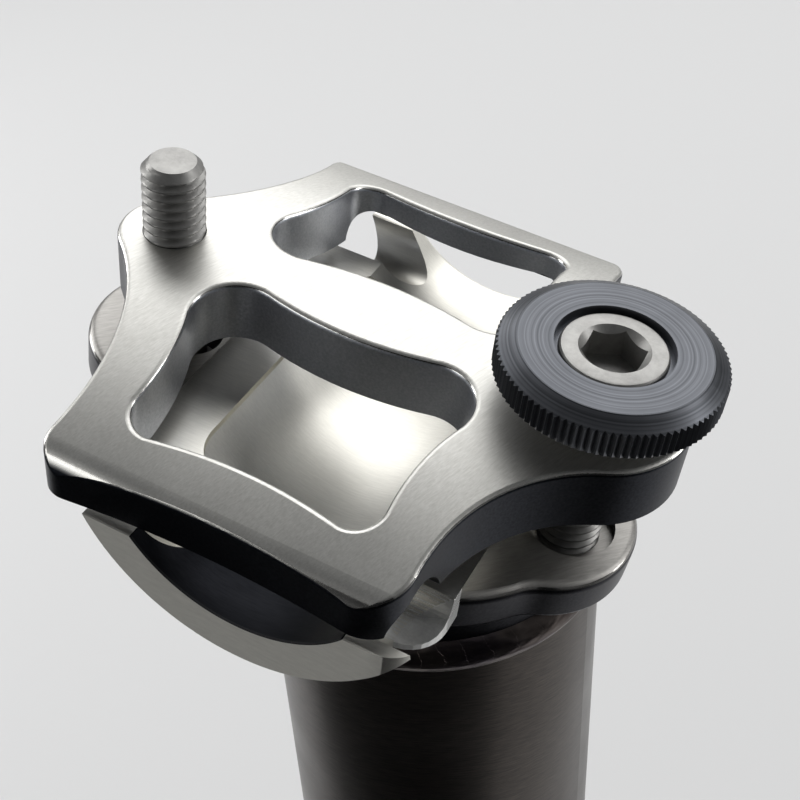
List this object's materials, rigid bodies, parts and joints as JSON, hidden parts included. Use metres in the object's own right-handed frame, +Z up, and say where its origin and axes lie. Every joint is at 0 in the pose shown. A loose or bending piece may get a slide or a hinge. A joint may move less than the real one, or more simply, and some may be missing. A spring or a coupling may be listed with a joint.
{
  "type": "bicycle seatpost",
  "caption": "Two-bolt seatpost: round post, tilting saddle clamp with open windows and a knurled thumb wheel.",
  "frame": {"origin": "centre of the tube's lower end", "axes": "+Z up along the tube, +X to the front of the bicycle, +Y to its left"},
  "size_m": [0.0653, 0.054, 0.2871],
  "materials": {
    "brushed_titanium": "titanium brushed across",
    "machined_head": "machined and brushed titanium",
    "weld": "heat-tinted weld ripples",
    "machined_aluminium": "brushed with polished edges",
    "bolt_steel": "satin stainless",
    "black_anodised": "black anodised, fine turning"
  },
  "bodies": {
    "post": {"tube": "brushed_titanium", "head": "machined_head", "weld_bead": "weld"},
    "clamp": {"rail_cradle": "machined_aluminium", "clamp_plate": "machined_aluminium"},
    "rear_bolt": {"rear_bolt": "bolt_steel", "rear_washer": "bolt_steel"},
    "front_knob": {"front_bolt": "bolt_steel", "front_washer": "bolt_steel", "thumb_wheel": "black_anodised"}
  },
  "joints": [
    {"name": "saddle_tilt", "type": "hinge", "parent": "post", "child": "clamp", "pos_m": [-0.0031, 0, 0.2735], "axis": [0, 1, 0], "range_deg": [-3, 3]},
    {"name": "rear_bolt_draw", "type": "slide", "parent": "clamp", "child": "rear_bolt", "axis": [0.1564, 0, 0.9877], "range_m": [-0.0014, 0.0014]},
    {"name": "front_bolt_draw", "type": "slide", "parent": "post", "child": "front_knob", "axis": [0.1564, 0, 0.9877], "range_m": [-0.0014, 0.0014]}
  ],
  "couplings": [
    {"joint": "rear_bolt_draw", "follows": "saddle_tilt", "m_per_rad": -0.0238},
    {"joint": "front_bolt_draw", "follows": "saddle_tilt", "m_per_rad": -0.0202}
  ]
}
